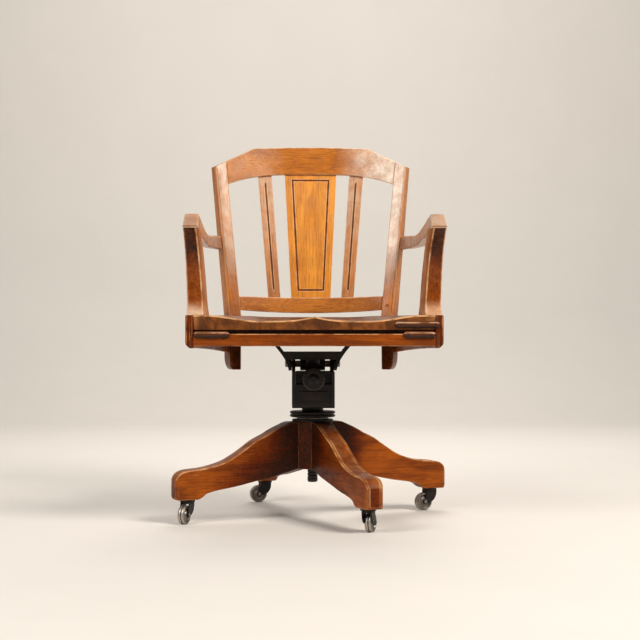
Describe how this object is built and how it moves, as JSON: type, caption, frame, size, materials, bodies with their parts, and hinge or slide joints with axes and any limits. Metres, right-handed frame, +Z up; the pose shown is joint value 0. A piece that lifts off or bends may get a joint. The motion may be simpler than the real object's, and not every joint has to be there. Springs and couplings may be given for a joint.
{
  "type": "bankers swivel chair",
  "caption": "Wooden swivel armchair with a slatted back and a scooped seat, on an iron screw lift with a spring tilt, over a legged wooden base on swivelling plate casters.",
  "frame": {"origin": "on the floor under the spindle axis, which is the centre of the base", "axes": "+Z up along the spindle; the seat faces -Y at rest; +X is the sitter's left hand, which is at the right of the picture"},
  "size_m": [0.6658, 0.6658, 0.925],
  "materials": {
    "iron": "old dark lacquer",
    "steel": "worn, oiled",
    "base_wood": "stained, satin",
    "seat_wood": "stained, worn",
    "frame_wood": "stained, satin",
    "splat_wood": "stained, satin",
    "reed_wood": "stained, glossy"
  },
  "bodies": {
    "base": {"hub_block": "base_wood", "hub_bushing": "iron", "base_flange": "iron", "leg_front": "base_wood", "leg_right": "base_wood", "leg_rear": "base_wood", "leg_left": "base_wood", "caster_socket_front": "iron", "caster_socket_right": "iron", "caster_socket_rear": "iron", "caster_socket_left": "iron"},
    "washer": {"thrust_washer": "steel"},
    "nut": {"height_nut": "iron"},
    "carriage": {"screw_spindle": "steel", "tilt_housing": "iron", "tilt_axle": "steel", "tension_spring": "steel"},
    "tension_knob": {"tension_knob": "iron", "tension_screw": "steel"},
    "spring_follower": {"spring_follower": "iron"},
    "caster_front": {"caster_fork_front": "iron", "caster_axle_front": "steel"},
    "wheel_front": {"caster_wheel_front": "steel"},
    "caster_right": {"caster_fork_right": "iron", "caster_axle_right": "steel"},
    "wheel_right": {"caster_wheel_right": "steel"},
    "caster_rear": {"caster_fork_rear": "iron", "caster_axle_rear": "steel"},
    "wheel_rear": {"caster_wheel_rear": "steel"},
    "caster_left": {"caster_fork_left": "iron", "caster_axle_left": "steel"},
    "wheel_left": {"caster_wheel_left": "steel"},
    "seat": {"tilt_lever": "iron", "tilt_iron_right": "iron", "tilt_iron_left": "iron", "seat_bolt_front_right": "steel", "seat_bolt_rear_right": "steel", "seat_bolt_front_left": "steel", "seat_bolt_rear_left": "steel", "seat_board": "seat_wood", "seat_rail_rear": "seat_wood", "seat_batten_front": "seat_wood", "seat_batten_rear": "seat_wood", "top_rail": "frame_wood", "lower_back_rail": "frame_wood", "seat_rail_front": "frame_wood", "back_stile_right": "frame_wood", "back_stile_left": "frame_wood", "side_rail_right": "frame_wood", "side_rail_left": "frame_wood", "arm_right": "frame_wood", "arm_left": "frame_wood", "arm_post_right": "frame_wood", "arm_post_left": "frame_wood", "slat_right": "frame_wood", "slat_left": "frame_wood", "splat_center": "splat_wood", "reed_lower_left": "reed_wood", "reed_lower_right": "reed_wood", "reed_upper_right": "reed_wood"}
  },
  "joints": [
    {"name": "seat_swivel", "type": "hinge", "parent": "base", "child": "washer", "pos_m": [0, 0, 0.2359], "axis": [0, 0, 1], "continuous": true},
    {"name": "nut_turn", "type": "hinge", "parent": "washer", "child": "nut", "pos_m": [0, 0, 0.248], "axis": [0, 0, -1], "range_deg": [0, 2520]},
    {"name": "seat_height", "type": "slide", "parent": "washer", "child": "carriage", "axis": [0, 0, 1], "range_m": [0, 0.056]},
    {"name": "tilt", "type": "hinge", "parent": "carriage", "child": "seat", "pos_m": [0, 0, 0.369], "axis": [-1, 0, 0], "range_deg": [0, 20], "stiffness_Nm_per_rad": 80, "springref_deg": -20.05, "deforming": ["tension_spring"]},
    {"name": "knob_turn", "type": "hinge", "parent": "carriage", "child": "tension_knob", "pos_m": [0, -0.134, 0.336], "axis": [0, 1, 0], "range_deg": [0, 1440]},
    {"name": "follower_slide", "type": "slide", "parent": "carriage", "child": "spring_follower", "axis": [0, 1, 0], "range_m": [0, 0.008]},
    {"name": "caster_swivel_front", "type": "hinge", "parent": "base", "child": "caster_front", "pos_m": [0.11861, -0.29505, 0.0503], "axis": [0, 0, 1], "continuous": true},
    {"name": "wheel_spin_front", "type": "hinge", "parent": "caster_front", "child": "wheel_front", "pos_m": [0.12477, -0.27814, 0.022], "axis": [-0.9397, 0.342, 0], "continuous": true},
    {"name": "caster_swivel_right", "type": "hinge", "parent": "base", "child": "caster_right", "pos_m": [0.29505, 0.11861, 0.0503], "axis": [0, 0, 1], "continuous": true},
    {"name": "wheel_spin_right", "type": "hinge", "parent": "caster_right", "child": "wheel_right", "pos_m": [0.27874, 0.111, 0.022], "axis": [0.4226, -0.9063, 0], "continuous": true},
    {"name": "caster_swivel_rear", "type": "hinge", "parent": "base", "child": "caster_rear", "pos_m": [-0.11861, 0.29505, 0.0503], "axis": [0, 0, 1], "continuous": true},
    {"name": "wheel_spin_rear", "type": "hinge", "parent": "caster_rear", "child": "wheel_rear", "pos_m": [-0.136, 0.29039, 0.022], "axis": [0.2588, -0.9659, 0], "continuous": true},
    {"name": "caster_swivel_left", "type": "hinge", "parent": "base", "child": "caster_left", "pos_m": [-0.29505, -0.11861, 0.0503], "axis": [0, 0, 1], "continuous": true},
    {"name": "wheel_spin_left", "type": "hinge", "parent": "caster_left", "child": "wheel_left", "pos_m": [-0.30121, -0.13553, 0.022], "axis": [0.9397, -0.342, 0], "continuous": true}
  ],
  "couplings": [
    {"joint": "seat_height", "follows": "nut_turn", "m_per_rad": 0.0012732},
    {"joint": "follower_slide", "follows": "knob_turn", "m_per_rad": 0.00031831}
  ]
}
